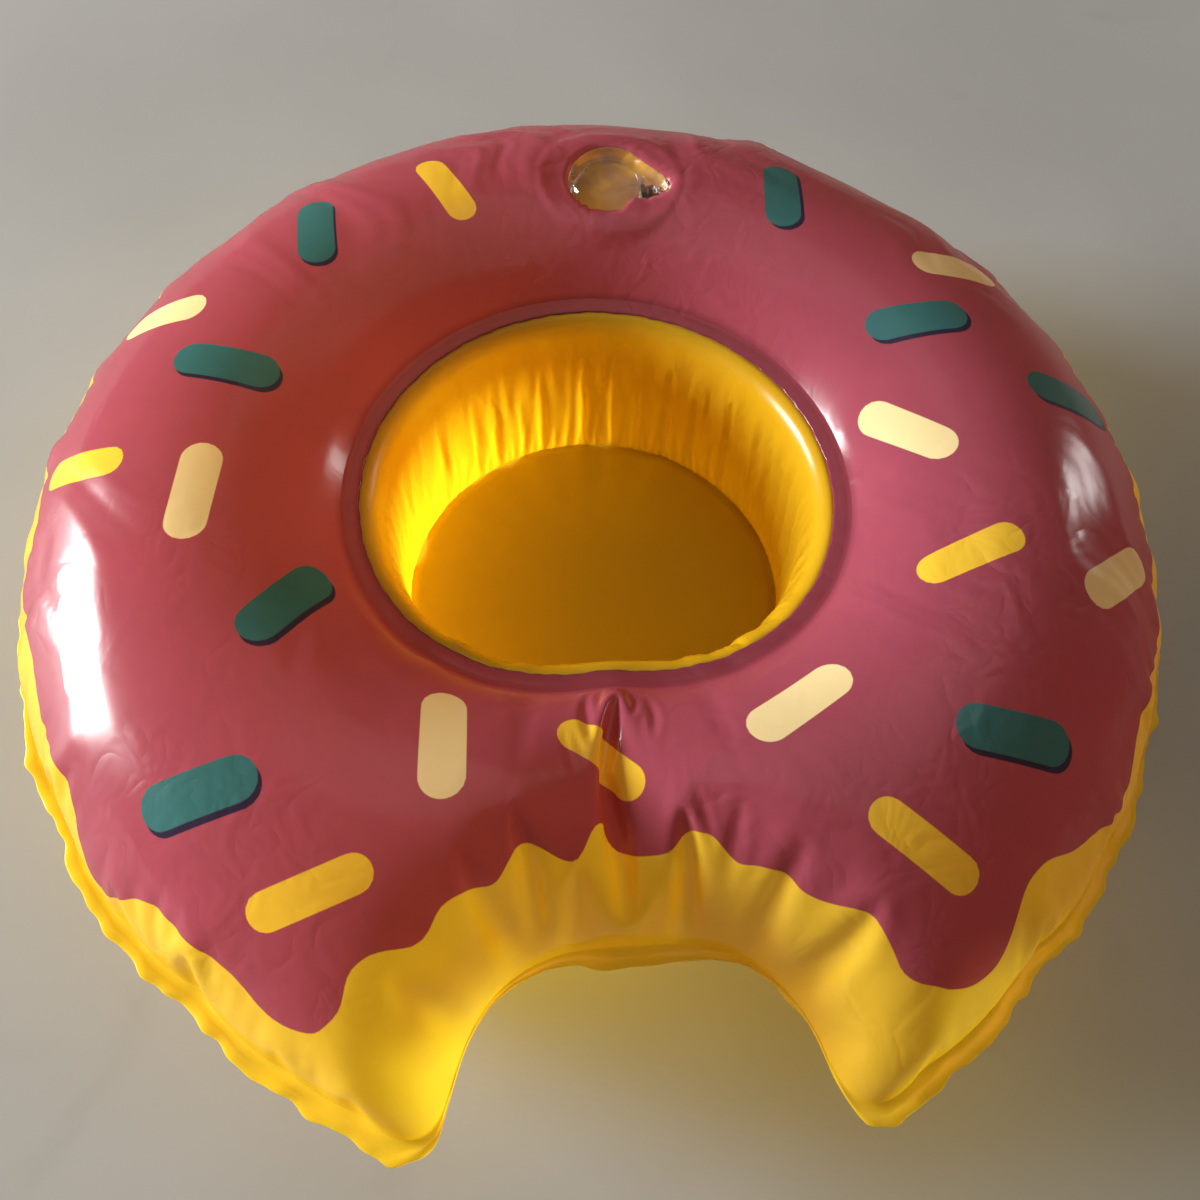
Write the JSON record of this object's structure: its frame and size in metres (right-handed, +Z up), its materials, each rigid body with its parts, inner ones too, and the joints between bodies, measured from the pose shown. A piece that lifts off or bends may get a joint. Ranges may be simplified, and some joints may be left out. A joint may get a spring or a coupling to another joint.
{
  "type": "inflatable doughnut drink holder",
  "caption": "Small blow-up ring shaped like an iced doughnut with a bite out of it, with a shallow cup in its hole that holds a drink can.",
  "frame": {"origin": "bottom centre of the bounding box, on the surface that the ring rests on", "axes": "+Z up out of the cup, -Y towards the bite, the valve at the +Y side"},
  "size_m": [0.199, 0.1936, 0.0559],
  "materials": {
    "printed_film": "soft glossy vinyl film printed dark pink above, with yellow edges, and plain yellow below",
    "yellow_film": "soft glossy yellow vinyl film, slightly see-through, pleated",
    "floor_film": "smooth ochre vinyl film, satin",
    "clear_vinyl": "clear soft vinyl, glossy"
  },
  "bodies": {
    "root": {"air_ring": "printed_film", "cup_sleeve": "yellow_film", "cup_floor": "floor_film", "valve_body": "clear_vinyl", "valve_plug": "clear_vinyl"}
  },
  "joints": []
}
